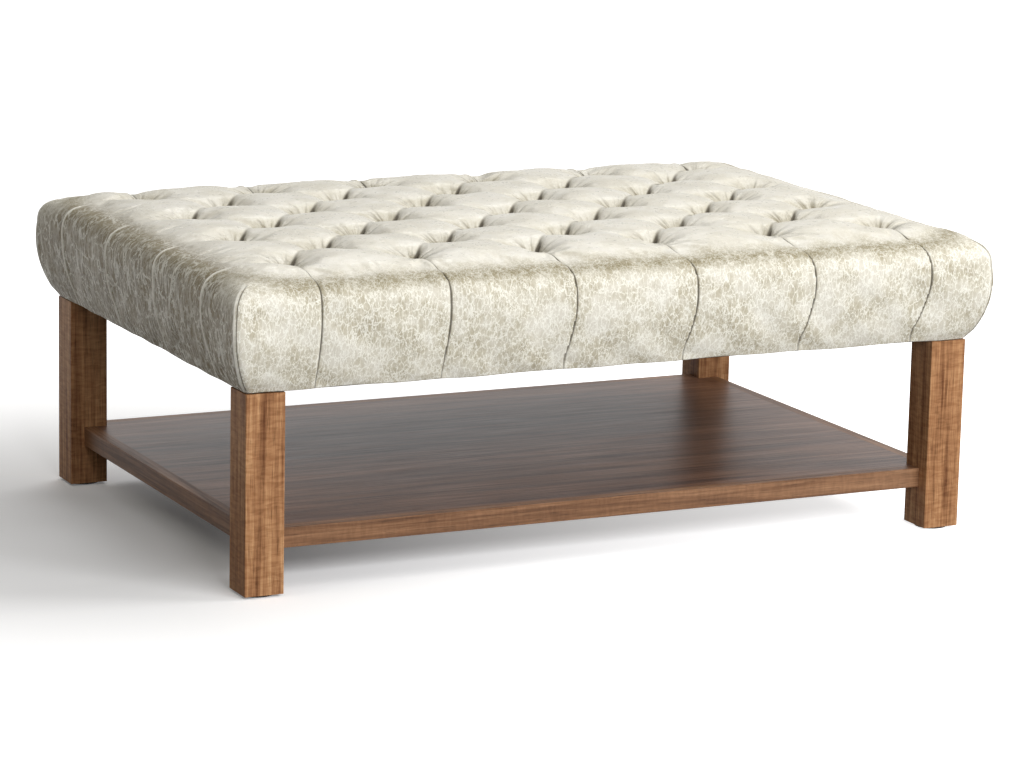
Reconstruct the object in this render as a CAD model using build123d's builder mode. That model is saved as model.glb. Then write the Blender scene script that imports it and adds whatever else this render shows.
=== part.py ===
from build123d import *
from math import asin, atan2, degrees, radians, sin, sqrt
import os

os.makedirs("parts", exist_ok=True)

# A tufted leather ottoman on four square walnut legs, with a walnut shelf between them.
# Millimetres, +Z up, +X along the ottoman, origin on the floor under its middle.
# Nothing on it moves: the legs are bolted on and the shelf is dowelled and glued.

# Size over the legs, and the legs
base_length = 1188
base_width = 797
leg_side = 60
leg_height = 294
leg_edge_radius = 1.5
glide_radius = 25
glide_thickness = 4
glide_edge_radius = 1
nail_radius = 1.5
nail_in_glide = 2
nail_in_leg = 18

# Shelf
shelf_top_height = 95
shelf_thickness = 30
shelf_inset = 22
lipping_width = 19
lipping_edge_radius = 1
tongue_reach = 8
tongue_thickness = 8
tongue_end_gap = 3
dowel_radius = 4
dowel_in_leg = 20
dowel_in_lipping = 22

# Seat frame and deck
frame_inset = 12
post_side = 50
rail_thickness = 22
rail_height = 60
cross_rail_height = 45
frame_dowel_radius = 5
frame_dowel_length = 44
frame_dowel_spacing = 30
deck_thickness = 12
deck_corner_radius = 14

# Stuffing and cover
side_height = 158
side_swell = 26
widest_height = 117
seat_corner_radius = 18
leather_thickness = 1.6
hem_width = 45
foam_overhang = 22
foam_height = 75
foam_edge_radius = 24
dust_cover_thickness = 0.8
dust_cover_inset = 12
dust_cover_leg_gap = 1

# Tufts: two grids, the inner one with a tuft less each way and half a pitch out of step
tufts_along = 6
tufts_across = 4
tuft_margin = 102.5
well_depth = 18
well_radius = 14
well_foot_radius = 3
foam_well_side = 8
fold_gap = 1.5
puff_rise = 15
crown_rise = 8
border_rise = 15
corner_rise = 12
puff_root = 3
pleat_rise = 2
pleat_depth = 4
pleat_width = 8
edge_margin = 2

# Fixings
bolt_radius = 4
bolt_in_leg = 40
bolt_clearance = 0.3
thread_clearance = 0.1
nut_flange_radius = 11
nut_flange_thickness = 1.6
nut_barrel_radius = 6
nut_barrel_length = 12
screw_head_radius = 4
screw_shank_radius = 2
deck_screw_length = 35
cross_screw_length = 60
cross_screw_spacing = 22
deck_screw_pitch_along = 235
deck_screw_pitch_across = 210
deck_screws_along = 5
deck_screws_across = 3
twine_radius = 1.2
twine_clearance = 0.3
twine_hole_radius = 4
washer_radius = 9
washer_thickness = 2.5
knot_radius = 3
knot_height = 4
tack_head_radius = 3
tack_head_thickness = 0.8
tack_radius = 0.6
tack_in_frame = 10
tack_pitch = 100
tacks_along = 10
tacks_across = 6

# One overrun for all cuts that start outside the piece
overrun = 3

# Heights that follow from the sizes above
seat_bottom = glide_thickness + leg_height
frame_bottom = seat_bottom + leather_thickness
frame_top = frame_bottom + rail_height
deck_top = frame_top + deck_thickness
fold_height = seat_bottom + side_height
shelf_middle = shelf_top_height - shelf_thickness / 2

# Half sizes that follow from the sizes above
leg_x = (base_length - leg_side) / 2
leg_y = (base_width - leg_side) / 2
bay_x = base_length / 2 - leg_side
bay_y = base_width / 2 - leg_side
shelf_x = base_length / 2 - shelf_inset
shelf_y = base_width / 2 - shelf_inset
frame_x = base_length / 2 - frame_inset
frame_y = base_width / 2 - frame_inset
rail_x = frame_x - rail_thickness / 2
rail_y = frame_y - rail_thickness / 2
pitch_x = (base_length - 2 * tuft_margin) / (tufts_along - 1)
pitch_y = (base_width - 2 * tuft_margin) / (tufts_across - 1)
cross_rail_x = pitch_x * 3 / 4

corners = {"front_left": (-1, -1), "front_right": (1, -1), "back_left": (-1, 1), "back_right": (1, 1)}
on_floor = (Align.CENTER, Align.CENTER, Align.MIN)
hanging = (Align.CENTER, Align.CENTER, Align.MAX)


def spots(count_x, count_y, spacing_x, spacing_y):
    """The X and Y places of a centred grid."""
    return [
        (spot.position.X, spot.position.Y)
        for spot in GridLocations(spacing_x, spacing_y, count_x, count_y).locations
    ]


tufts = spots(tufts_along, tufts_across, pitch_x, pitch_y)
tufts += spots(tufts_along - 1, tufts_across - 1, pitch_x, pitch_y)
leg_spots = [(x_way * leg_x, y_way * leg_y) for x_way, y_way in corners.values()]


def keep(builder, name):
    """Labels a finished piece and writes it under that name."""
    builder.part.label = name
    export_step(builder.part, f"parts/{name}.step")


# Legs, each with a bolt hole in its top, two dowel holes for the shelf and a nail hole below
for name, (x_way, y_way) in corners.items():
    shelf_joints = [
        Plane((x_way * bay_x, y_way * (shelf_y - lipping_width / 2), shelf_middle), z_dir=(-x_way, 0, 0)),
        Plane((x_way * (shelf_x - lipping_width / 2), y_way * bay_y, shelf_middle), z_dir=(0, -y_way, 0)),
    ]
    with BuildPart() as leg:
        with Locations((x_way * leg_x, y_way * leg_y, glide_thickness)):
            Box(leg_side, leg_side, leg_height, align=on_floor)
        fillet(leg.edges().filter_by(Axis.Z), leg_edge_radius)
        with Locations(Plane((x_way * leg_x, y_way * leg_y, seat_bottom))):
            Hole(bolt_radius, bolt_in_leg)
        with Locations(Plane((x_way * leg_x, y_way * leg_y, glide_thickness), z_dir=(0, 0, -1))):
            Hole(nail_radius, nail_in_leg)
        with Locations(*shelf_joints):
            Hole(dowel_radius, dowel_in_leg)
    keep(leg, f"leg_{name}")

# Glides, round plastic discs under the legs, each moulded round the foot of its nail
for name, (x_way, y_way) in corners.items():
    with BuildPart() as glide:
        with Locations((x_way * leg_x, y_way * leg_y)):
            Cylinder(glide_radius, glide_thickness, align=on_floor)
        fillet(glide.edges().group_by(Axis.Z)[0], glide_edge_radius)
        with Locations(Plane((x_way * leg_x, y_way * leg_y, glide_thickness))):
            Hole(nail_radius, nail_in_glide)
    keep(glide, f"glide_{name}")

with BuildPart(Plane.XY.offset(glide_thickness - nail_in_glide)) as glide_nails:
    with Locations(*leg_spots):
        Cylinder(nail_radius, nail_in_glide + nail_in_leg, align=on_floor)
keep(glide_nails, "glide_nails")

# Shelf panel, notched round the legs, with a tongue along each side that stops short of the dowels
tongue_stop = dowel_in_lipping + tongue_end_gap
with BuildPart() as shelf_panel:
    with BuildSketch(Plane.XY.offset(shelf_top_height - shelf_thickness)):
        Rectangle(2 * (shelf_x - lipping_width), 2 * (shelf_y - lipping_width))
        with Locations(*leg_spots):
            Rectangle(leg_side, leg_side, mode=Mode.SUBTRACT)
    extrude(amount=shelf_thickness)
    with BuildSketch(Plane.XY.offset(shelf_middle - tongue_thickness / 2)):
        Rectangle(2 * (bay_x - tongue_stop), 2 * (shelf_y - lipping_width + tongue_reach))
        Rectangle(2 * (shelf_x - lipping_width + tongue_reach), 2 * (bay_y - tongue_stop))
    extrude(amount=tongue_thickness)
keep(shelf_panel, "shelf_panel")

# Lippings, solid edge strips between the legs, grooved over the panel's tongues
for name, along, way in [("front", True, -1), ("back", True, 1), ("left", False, -1), ("right", False, 1)]:
    reach = (shelf_y if along else shelf_x) - lipping_width / 2
    half_length = bay_x if along else bay_y
    middle = (0, way * reach) if along else (way * reach, 0)
    groove = (0, way * (reach - (lipping_width - tongue_reach) / 2))
    groove = groove if along else (groove[1], 0)
    size = (2 * half_length, lipping_width) if along else (lipping_width, 2 * half_length)
    groove_length = 2 * (half_length - tongue_stop)
    groove_size = (groove_length, tongue_reach) if along else (tongue_reach, groove_length)
    with BuildPart() as lipping:
        with BuildSketch(Plane.XY.offset(shelf_top_height - shelf_thickness)):
            with Locations(middle):
                Rectangle(*size)
        extrude(amount=shelf_thickness)
        outer_face = lipping.faces().sort_by(Axis.Y if along else Axis.X)[0 if way < 0 else -1]
        fillet(outer_face.edges().filter_by(Axis.X if along else Axis.Y), lipping_edge_radius)
        with BuildSketch(Plane.XY.offset(shelf_middle - tongue_thickness / 2)):
            with Locations(groove):
                Rectangle(*groove_size)
        extrude(amount=tongue_thickness, mode=Mode.SUBTRACT)
        for end in (-1, 1):
            mouth = (end * half_length, way * reach) if along else (way * reach, end * half_length)
            facing = (end, 0, 0) if along else (0, end, 0)
            with Locations(Plane((*mouth, shelf_middle), z_dir=facing)):
                Hole(dowel_radius, dowel_in_lipping)
    keep(lipping, f"shelf_lipping_{name}")

# Shelf dowels, one at each end of each lipping
dowel_length = dowel_in_leg + dowel_in_lipping
dowel_shift = (dowel_in_leg - dowel_in_lipping) / 2
with BuildPart() as shelf_dowels:
    for x_way, y_way in corners.values():
        dowel_y = y_way * (shelf_y - lipping_width / 2)
        dowel_x = x_way * (shelf_x - lipping_width / 2)
        with Locations((x_way * (bay_x + dowel_shift), dowel_y, shelf_middle)):
            Cylinder(dowel_radius, dowel_length, rotation=(0, 90, 0))
        with Locations((dowel_x, y_way * (bay_y + dowel_shift), shelf_middle)):
            Cylinder(dowel_radius, dowel_length, rotation=(90, 0, 0))
keep(shelf_dowels, "shelf_dowels")


def dowel_spots(end_x, end_y, facing):
    """The two dowel places on an end of a rail, one above the other."""
    middle = frame_bottom + rail_height / 2
    return [
        Plane((end_x, end_y, middle + way * frame_dowel_spacing / 2), z_dir=facing) for way in (-1, 1)
    ]


# Corner posts of the seat frame, each over a leg, bored for the bolt and its tee nut
post_x = frame_x - post_side
post_y = frame_y - post_side
for name, (x_way, y_way) in corners.items():
    rail_ends = dowel_spots(x_way * post_x, y_way * rail_y, (-x_way, 0, 0))
    rail_ends += dowel_spots(x_way * rail_x, y_way * post_y, (0, -y_way, 0))
    post_middle = (x_way * (frame_x - post_side / 2), y_way * (frame_y - post_side / 2), frame_bottom)
    with BuildPart() as post:
        with Locations(post_middle):
            Box(post_side, post_side, rail_height, align=on_floor)
        with Locations(Plane((x_way * leg_x, y_way * leg_y, frame_top))):
            Hole(bolt_radius + bolt_clearance, rail_height)
            Hole(nut_barrel_radius, nut_flange_thickness + nut_barrel_length)
            Hole(nut_flange_radius, nut_flange_thickness)
        with Locations(*rail_ends):
            Hole(frame_dowel_radius, frame_dowel_length / 2)
    keep(post, f"corner_post_{name}")

# Seat rails between the posts, bored for their dowels, the cross rails' screws and the cover's tacks
front_tacks = spots(tacks_along, 2, tack_pitch, 2 * rail_y)
side_tacks = spots(2, tacks_across, 2 * rail_x, tack_pitch)
cross_screw_heights = [
    frame_top - cross_rail_height / 2 + way * cross_screw_spacing / 2 for way in (-1, 1)
]
cross_screw_spots = [
    Plane((x_way * cross_rail_x, y_way * frame_y, height), z_dir=(0, y_way, 0))
    for x_way in (-1, 1)
    for y_way in (-1, 1)
    for height in cross_screw_heights
]
front_deck_screws = spots(deck_screws_along, 2, deck_screw_pitch_along, 2 * rail_y)
side_deck_screws = spots(2, deck_screws_across, 2 * rail_x, deck_screw_pitch_across)
cross_deck_screws = spots(2, deck_screws_across, 2 * cross_rail_x, deck_screw_pitch_across)
deck_screw_spots = front_deck_screws + side_deck_screws + cross_deck_screws
screw_in_rail = deck_screw_length - deck_thickness

for name, along, way in [("front", True, -1), ("back", True, 1), ("left", False, -1), ("right", False, 1)]:
    half_length = post_x if along else post_y
    middle = (0, way * rail_y) if along else (way * rail_x, 0)
    size = (2 * half_length, rail_thickness) if along else (rail_thickness, 2 * half_length)
    with BuildPart() as rail:
        with BuildSketch(Plane.XY.offset(frame_bottom)):
            with Locations(middle):
                Rectangle(*size)
        extrude(amount=rail_height)
        for end in (-1, 1):
            if along:
                rail_end = dowel_spots(end * half_length, middle[1], (end, 0, 0))
            else:
                rail_end = dowel_spots(middle[0], end * half_length, (0, end, 0))
            with Locations(*rail_end):
                Hole(frame_dowel_radius, frame_dowel_length / 2)
        with Locations(*[Plane((x, y, frame_bottom), z_dir=(0, 0, -1)) for x, y in front_tacks + side_tacks]):
            Hole(tack_radius, tack_in_frame)
        with Locations(*[Plane((x, y, frame_top)) for x, y in front_deck_screws + side_deck_screws]):
            Hole(screw_shank_radius, screw_in_rail)
        if along:
            with Locations(*cross_screw_spots):
                CounterSinkHole(screw_shank_radius, screw_head_radius, rail_thickness, 90)
    keep(rail, f"seat_rail_{name}")

# Cross rails under the deck, in line between the tufts
cross_rail_y = frame_y - rail_thickness
for name, way in [("left", -1), ("right", 1)]:
    with BuildPart() as cross_rail:
        with Locations((way * cross_rail_x, 0, frame_top - cross_rail_height)):
            Box(rail_thickness, 2 * cross_rail_y, cross_rail_height, align=on_floor)
        with Locations(*cross_screw_spots):
            Hole(screw_shank_radius, cross_screw_length)
        with Locations(*[Plane((x, y, frame_top)) for x, y in cross_deck_screws]):
            Hole(screw_shank_radius, screw_in_rail)
    keep(cross_rail, f"cross_rail_{name}")

# Frame dowels, two at each end of each rail
end_spots = []
for x_way, y_way in corners.values():
    end_spots += dowel_spots(x_way * post_x, y_way * rail_y, (x_way, 0, 0))
    end_spots += dowel_spots(x_way * rail_x, y_way * post_y, (0, y_way, 0))
with BuildPart() as frame_dowels:
    with Locations(*end_spots):
        Cylinder(frame_dowel_radius, frame_dowel_length)
keep(frame_dowels, "frame_dowels")


def wood_screw(length):
    """A countersunk screw that points down, with its head's top at the origin."""
    with BuildPart() as screw:
        Cylinder(screw_shank_radius, length, align=hanging)
        head_height = screw_head_radius - screw_shank_radius
        Cone(screw_shank_radius, screw_head_radius, head_height, align=hanging)
    return screw.part


cross_screw = wood_screw(cross_screw_length)
with BuildPart() as cross_rail_screws:
    with Locations(*cross_screw_spots):
        add(cross_screw)
keep(cross_rail_screws, "cross_rail_screws")

# Seat deck, a plywood board on the frame, with a hole under each tuft
with BuildPart() as seat_deck:
    with BuildSketch(Plane.XY.offset(frame_top)):
        RectangleRounded(2 * frame_x, 2 * frame_y, deck_corner_radius)
        with Locations(*tufts):
            Circle(twine_hole_radius, mode=Mode.SUBTRACT)
    extrude(amount=deck_thickness)
    with Locations(*[Plane((x, y, deck_top)) for x, y in deck_screw_spots]):
        CounterSinkHole(screw_shank_radius, screw_head_radius, deck_thickness, 90)
keep(seat_deck, "seat_deck")

deck_screw = wood_screw(deck_screw_length)
with BuildPart(Plane.XY.offset(deck_top)) as deck_screws:
    with Locations(*deck_screw_spots):
        add(deck_screw)
keep(deck_screws, "deck_screws")

# Hanger bolts from the legs up through the posts, into tee nuts let into the posts' tops
with BuildPart(Plane.XY.offset(seat_bottom - bolt_in_leg)) as leg_bolts:
    with Locations(*leg_spots):
        Cylinder(bolt_radius, frame_top - seat_bottom + bolt_in_leg, align=on_floor)
keep(leg_bolts, "leg_bolts")

with BuildPart(Plane.XY.offset(frame_top)) as tee_nuts:
    with Locations(*leg_spots):
        Cylinder(nut_flange_radius, nut_flange_thickness, align=hanging)
        Cylinder(nut_barrel_radius, nut_flange_thickness + nut_barrel_length, align=hanging)
    with Locations(*leg_spots):
        Cylinder(
            bolt_radius + thread_clearance,
            nut_flange_thickness + nut_barrel_length,
            align=hanging,
            mode=Mode.SUBTRACT,
        )
keep(tee_nuts, "tee_nuts")

# Foam block on the deck, with its top edge rounded and a well under each tuft
foam_top = deck_top + foam_height
foam_well_foot = fold_height - well_depth - foam_well_side
with BuildPart() as foam_pad:
    with BuildSketch(Plane.XY.offset(deck_top)):
        RectangleRounded(2 * (frame_x + foam_overhang), 2 * (frame_y + foam_overhang), foam_edge_radius)
    extrude(amount=foam_height)
    fillet(foam_pad.edges().group_by(Axis.Z)[-1], foam_edge_radius * 3 / 4)
    with Locations(*[Plane((x, y, foam_well_foot)) for x, y in tufts]):
        Cone(
            well_foot_radius + foam_well_side,
            well_radius + foam_well_side,
            fold_height - foam_well_foot,
            align=on_floor,
            mode=Mode.SUBTRACT,
        )
    with Locations(*[Plane((x, y, foam_top)) for x, y in tufts]):
        Hole(twine_radius + twine_clearance, foam_height)
keep(foam_pad, "foam_pad")

# The seat's side in section is two arcs that meet, upright, where it is widest
roll_turn = 70
side_radius = (side_swell**2 + widest_height**2) / (2 * side_swell)
roll_radius = (side_height - widest_height) / sin(radians(roll_turn))
# A puff from its middle to its end: how far along it is, and how much of the rise it has
half_puff_shares = [(0, 1), (0.5, 0.75), (1, 0)]


def outset(height, inset):
    """How far the seat's side stands out from the legs at a height above the seat's bottom."""
    radius = side_radius if height < widest_height else roll_radius
    reach = sqrt((radius - inset) ** 2 - (height - widest_height) ** 2)
    return side_swell - radius + reach


def puff(stations, crossways, inset):
    """A swelling on the fold plane, lofted through arcs that stand across X, or crossways, across Y."""
    with BuildPart() as swelling:
        for place, low, high, rise in stations:
            if crossways:
                plane = Plane((0, place, fold_height - inset), x_dir=(1, 0, 0), z_dir=(0, -1, 0))
            else:
                plane = Plane((place, 0, fold_height - inset), x_dir=(0, 1, 0), z_dir=(1, 0, 0))
            with BuildSketch(plane):
                with BuildLine():
                    ThreePointArc((low, 0), ((low + high) / 2, rise), (high, 0))
                    Polyline((high, 0), (high, -puff_root), (low, -puff_root), (low, 0))
                make_face()
        loft()
    return swelling.part


def diamond_puff(x, y, inset):
    """The two halves of a puff between four tufts."""
    crown = crown_rise * (1 - (2 * x / base_length) ** 2) * (1 - (2 * y / base_width) ** 2)
    reach_x = pitch_x / 2 - fold_gap - inset
    reach_y = pitch_y / 2 - fold_gap - inset
    halves = []
    for way in (-1, 1):
        stations = []
        for share, rise_share in half_puff_shares:
            half = (1 - share) * reach_y + fold_gap / 2
            rise = rise_share * (puff_rise + crown) + fold_gap / 4
            stations.append((x + way * share * reach_x, y - half, y + half, rise))
        halves.append(puff(stations, False, inset))
    return halves


def border_puff(middle, side, crossways, inset):
    """The two halves of a puff between two outer tufts and the edge of the seat's top."""
    span, pitch = (base_length, pitch_x) if crossways else (base_width, pitch_y)
    reach = (pitch_y if crossways else pitch_x) / 2 - fold_gap - inset
    outer = span / 2 + outset(side_height - inset, inset) - edge_margin
    tuft_line = span / 2 - tuft_margin + inset
    halves = []
    for way in (-1, 1):
        stations = []
        for share, rise_share in half_puff_shares:
            inner = tuft_line + 2 * fold_gap - (1 - share) * pitch / 2
            low, high = sorted((side * inner, side * outer))
            rise = pleat_rise + rise_share * (border_rise - pleat_rise)
            stations.append((middle + way * share * reach, low, high, rise))
        halves.append(puff(stations, crossways, inset))
    return halves


def corner_puff(x_way, y_way, inset):
    """The puff between a corner tuft and the corner of the seat's top."""
    edge = outset(side_height - inset, inset) - edge_margin
    start = base_length / 2 - tuft_margin + fold_gap + inset
    end = base_length / 2 + edge - seat_corner_radius / 4
    inner = base_width / 2 - tuft_margin + fold_gap + inset
    outer = base_width / 2 + edge
    stations = []
    middle = (start + end) / 2
    rounding = seat_corner_radius / 4
    for place, pull, rise in [(start, 0, pleat_rise), (middle, 0, corner_rise), (end, rounding, pleat_rise)]:
        low, high = sorted((y_way * inner, y_way * (outer - pull)))
        stations.append((x_way * place, low, high, rise))
    return puff(stations, False, inset)


def seat_block(inset):
    """The seat up to its fold plane: a core, a rim along each side, and the rim turned at each corner."""
    low, high = inset, side_height - inset
    side_heights = [low, (low + widest_height) / 2, widest_height, (high + widest_height) / 2, high]
    profile = [(outset(height, inset), height) for height in side_heights]
    run_x = base_length / 2 - seat_corner_radius
    run_y = base_width / 2 - seat_corner_radius
    with BuildPart() as block:
        with BuildSketch(Plane.XY.offset(seat_bottom + low)):
            Rectangle(2 * run_x, 2 * run_y)
        extrude(amount=high - low)
        for turn in (0, 90, 180, 270):
            reach, run = (run_x, run_y) if turn in (0, 180) else (run_y, run_x)
            side = Plane.XY.offset(seat_bottom).rotated((0, 0, turn))
            for along in (0, run):
                foot = side.from_local_coords((reach + seat_corner_radius, along, 0))
                with BuildSketch(Plane(foot, x_dir=side.x_dir, z_dir=-side.y_dir)):
                    with BuildLine():
                        ThreePointArc(*profile[:3])
                        ThreePointArc(*profile[2:])
                        Polyline(
                            profile[-1],
                            (-seat_corner_radius, high),
                            (-seat_corner_radius, low),
                            profile[0],
                        )
                    make_face()
                if along:
                    corner = side.from_local_coords((reach, along, 0))
                    revolve(axis=Axis(corner, (0, 0, 1)), revolution_arc=90)
                else:
                    extrude(amount=run, both=True)
    return block.part


def pleat_cutter(x, y, turn, inset):
    """A V groove up the seat's side from a point of its bottom edge, where the side faces the way of turn."""
    level = Plane((x, y, seat_bottom + widest_height)).rotated((0, 0, turn))
    surface = side_swell - inset
    side_turn = degrees(asin((widest_height + overrun) / side_radius))
    with BuildPart() as groove:
        for radius, arc, way in [(side_radius, side_turn, 1), (roll_radius, roll_turn, -1)]:
            with BuildSketch(level):
                with BuildLine():
                    Polyline(
                        (surface - pleat_depth, 0),
                        (surface + overrun, -pleat_width / 2),
                        (surface + overrun, pleat_width / 2),
                        close=True,
                    )
                make_face()
            middle = level.from_local_coords((side_swell - radius, 0, 0))
            revolve(axis=Axis(middle, level.y_dir * way), revolution_arc=arc)
    return groove.part


def tufted_form(inset):
    """The stuffed seat, drawn in on all sides by inset."""
    puffs = []
    for x, y in spots(tufts_along - 1, tufts_across - 2, pitch_x, pitch_y):
        puffs += diamond_puff(x, y, inset)
    for x, y in spots(tufts_along - 2, tufts_across - 1, pitch_x, pitch_y):
        puffs += diamond_puff(x, y, inset)
    for side in (-1, 1):
        for x, _ in spots(tufts_along - 1, 1, pitch_x, pitch_y):
            puffs += border_puff(x, side, False, inset)
        for _, y in spots(1, tufts_across - 1, pitch_x, pitch_y):
            puffs += border_puff(y, side, True, inset)
    for x_way, y_way in corners.values():
        puffs.append(corner_puff(x_way, y_way, inset))

    cutters = []
    for x, y in spots(tufts_along, 2, pitch_x, base_width):
        cutters.append(pleat_cutter(x, y, 90 if y > 0 else -90, inset))
    for x, y in spots(2, tufts_across, base_length, pitch_y):
        cutters.append(pleat_cutter(x, y, 0 if x > 0 else 180, inset))
    seam_pull = seat_corner_radius * (1 - sqrt(1 / 2))
    for x_way, y_way in corners.values():
        turn = degrees(atan2(y_way, x_way))
        seam_x = x_way * (base_length / 2 - seam_pull)
        seam_y = y_way * (base_width / 2 - seam_pull)
        cutters.append(pleat_cutter(seam_x, seam_y, turn, inset))

    well_rise = well_depth + puff_rise + crown_rise
    well_mouth_radius = well_foot_radius + (well_radius - well_foot_radius) * well_rise / well_depth
    with BuildPart() as form:
        add(seat_block(inset))
        add(puffs)
        with Locations(*[Plane((x, y, fold_height - well_depth - inset)) for x, y in tufts]):
            Cone(
                well_foot_radius + inset,
                well_mouth_radius + 2 * inset,
                well_rise + inset,
                align=on_floor,
                mode=Mode.SUBTRACT,
            )
        add(cutters, mode=Mode.SUBTRACT)
    return form.part


outside = tufted_form(0)
inside = tufted_form(leather_thickness)

# Wadding, polyester fibre that fills the puffs and hangs down over the frame's sides
with BuildPart() as wadding:
    add(inside)
    add(foam_pad.part, mode=Mode.SUBTRACT)
    with BuildSketch(Plane.XY.offset(frame_bottom)):
        Rectangle(2 * frame_x, 2 * frame_y)
    extrude(amount=deck_top - frame_bottom, mode=Mode.SUBTRACT)
    with Locations(*[Plane((x, y, fold_height)) for x, y in tufts]):
        Hole(twine_radius + twine_clearance, fold_height - deck_top)
keep(wadding, "wadding")

# Leather cover, drawn down at each tuft and turned in under the frame as a hem
with BuildPart() as leather_cover:
    add(outside)
    add(inside, mode=Mode.SUBTRACT)
    with BuildSketch(Plane.XY.offset(seat_bottom)):
        Rectangle(base_length - 2 * hem_width, base_width - 2 * hem_width)
    extrude(amount=leather_thickness, mode=Mode.SUBTRACT)
    with Locations(*[Plane((x, y, frame_bottom)) for x, y in leg_spots]):
        Hole(bolt_radius + bolt_clearance, leather_thickness)
    with Locations(*[Plane((x, y, frame_bottom)) for x, y in front_tacks + side_tacks]):
        Hole(tack_radius, leather_thickness)
keep(leather_cover, "leather_cover")

# Tuft twines, from each tuft down through the deck to a knot under its washer
twine_top = fold_height - well_depth - leather_thickness
washer_bottom = frame_top - washer_thickness
with BuildPart(Plane.XY.offset(washer_bottom)) as tuft_twines:
    with Locations(*tufts):
        Cylinder(twine_radius, twine_top - washer_bottom, align=on_floor)
        Cylinder(knot_radius, knot_height, align=hanging)
keep(tuft_twines, "tuft_twines")

with BuildPart() as twine_washers:
    with BuildSketch(Plane.XY.offset(washer_bottom)):
        with Locations(*tufts):
            Circle(washer_radius)
            Circle(twine_radius + twine_clearance, mode=Mode.SUBTRACT)
    extrude(amount=washer_thickness)
keep(twine_washers, "twine_washers")

# Dust cover, a cloth sheet tacked under the seat and cut out round the legs
with BuildPart() as dust_cover:
    with BuildSketch(Plane.XY.offset(seat_bottom - dust_cover_thickness)):
        Rectangle(base_length - 2 * dust_cover_inset, base_width - 2 * dust_cover_inset)
        with Locations(*leg_spots):
            leg_cutout = leg_side + 2 * dust_cover_leg_gap
            Rectangle(leg_cutout, leg_cutout, mode=Mode.SUBTRACT)
        with Locations(*front_tacks, *side_tacks):
            Circle(tack_radius, mode=Mode.SUBTRACT)
    extrude(amount=dust_cover_thickness)
keep(dust_cover, "dust_cover")

with BuildPart(Plane.XY.offset(seat_bottom - dust_cover_thickness)) as cover_tacks:
    with Locations(*front_tacks, *side_tacks):
        tack_length = dust_cover_thickness + leather_thickness + tack_in_frame
        Cylinder(tack_radius, tack_length, align=on_floor)
        Cylinder(tack_head_radius, tack_head_thickness, align=hanging)
keep(cover_tacks, "cover_tacks")
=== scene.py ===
from math import cos, pi, radians, sin

import bmesh
import bpy
import numpy as np
from mathutils import Matrix, Vector


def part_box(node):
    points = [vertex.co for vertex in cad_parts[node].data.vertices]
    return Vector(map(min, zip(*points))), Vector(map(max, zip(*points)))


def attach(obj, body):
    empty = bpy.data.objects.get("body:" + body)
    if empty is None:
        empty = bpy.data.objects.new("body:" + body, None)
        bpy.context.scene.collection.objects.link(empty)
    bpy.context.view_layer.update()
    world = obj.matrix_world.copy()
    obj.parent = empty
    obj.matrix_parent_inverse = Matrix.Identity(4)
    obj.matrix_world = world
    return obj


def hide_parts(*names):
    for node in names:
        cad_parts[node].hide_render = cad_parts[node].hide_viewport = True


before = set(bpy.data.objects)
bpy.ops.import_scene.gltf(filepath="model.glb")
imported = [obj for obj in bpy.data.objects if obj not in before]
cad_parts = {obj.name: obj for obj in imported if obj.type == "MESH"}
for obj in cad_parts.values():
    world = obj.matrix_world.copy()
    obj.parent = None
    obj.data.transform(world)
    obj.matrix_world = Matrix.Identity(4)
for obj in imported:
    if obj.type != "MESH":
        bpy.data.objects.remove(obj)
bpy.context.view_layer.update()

# A tufted leather ottoman: a deep diamond-tufted seat on four square walnut legs, with a walnut shelf
# between them. Metres, +Z up, +X along the ottoman, the origin on the floor under its middle.


# The camera. It stands off the front left corner of the ottoman, a little above the seat, and
# looks through a long lens, so that the seat and the shelf both show their tops.
camera_place = (-2.57517, -5.30937, 1.44062)
camera_yaw, camera_pitch, camera_roll = radians(-26.0054), radians(11.9521), radians(1.2577)
camera_lens = 135.38

ahead = Vector((-sin(camera_yaw) * cos(camera_pitch),
                cos(camera_yaw) * cos(camera_pitch),
                -sin(camera_pitch)))
level = Vector((cos(camera_yaw), sin(camera_yaw), 0))
rise = level.cross(ahead)
right = cos(camera_roll) * level + sin(camera_roll) * rise
up = cos(camera_roll) * rise - sin(camera_roll) * level
camera_data = bpy.data.cameras.new("camera")
camera_data.lens = camera_lens
camera = bpy.data.objects.new("camera", camera_data)
turn = Matrix((right, up, -ahead)).transposed().to_4x4()
camera.matrix_world = Matrix.Translation(camera_place) @ turn
bpy.context.scene.collection.objects.link(camera)
bpy.context.scene.camera = camera


# The studio. A white floor runs out to a white room, and the floor keeps a soft shadow, deepened by
# painted shadow where its glow is dimmest. A wide softbox stands in front, weaker ones stand at the
# right, at the left and high behind, and the white room fills the rest.
def node(tree, kind, inputs=None, **settings):
    """A shader node. inputs gives its sockets a value, or another node's output."""
    made = tree.nodes.new("ShaderNode" + kind)
    for name, value in settings.items():
        setattr(made, name, value)
    for name, value in (inputs or {}).items():
        if isinstance(value, bpy.types.NodeSocket):
            tree.links.new(value, made.inputs[name])
        else:
            made.inputs[name].default_value = value
    return made


def empty_material(name):
    """A material with nothing but its output, and that output's tree."""
    material = bpy.data.materials.new(name)
    material.use_nodes = True
    material.node_tree.nodes.clear()
    return material, material.node_tree


def seen_directly(tree):
    """1 for what the camera, a mirror or a glass sees, and 0 for the light that falls on the object."""
    path = node(tree, "LightPath")
    mirror = node(tree, "Math", {0: path.outputs["Is Camera Ray"], 1: path.outputs["Is Glossy Ray"]},
                  operation="MAXIMUM")
    return node(tree, "Math", {0: mirror.outputs[0], 1: path.outputs["Is Transmission Ray"]},
                operation="MAXIMUM").outputs[0]


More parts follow.
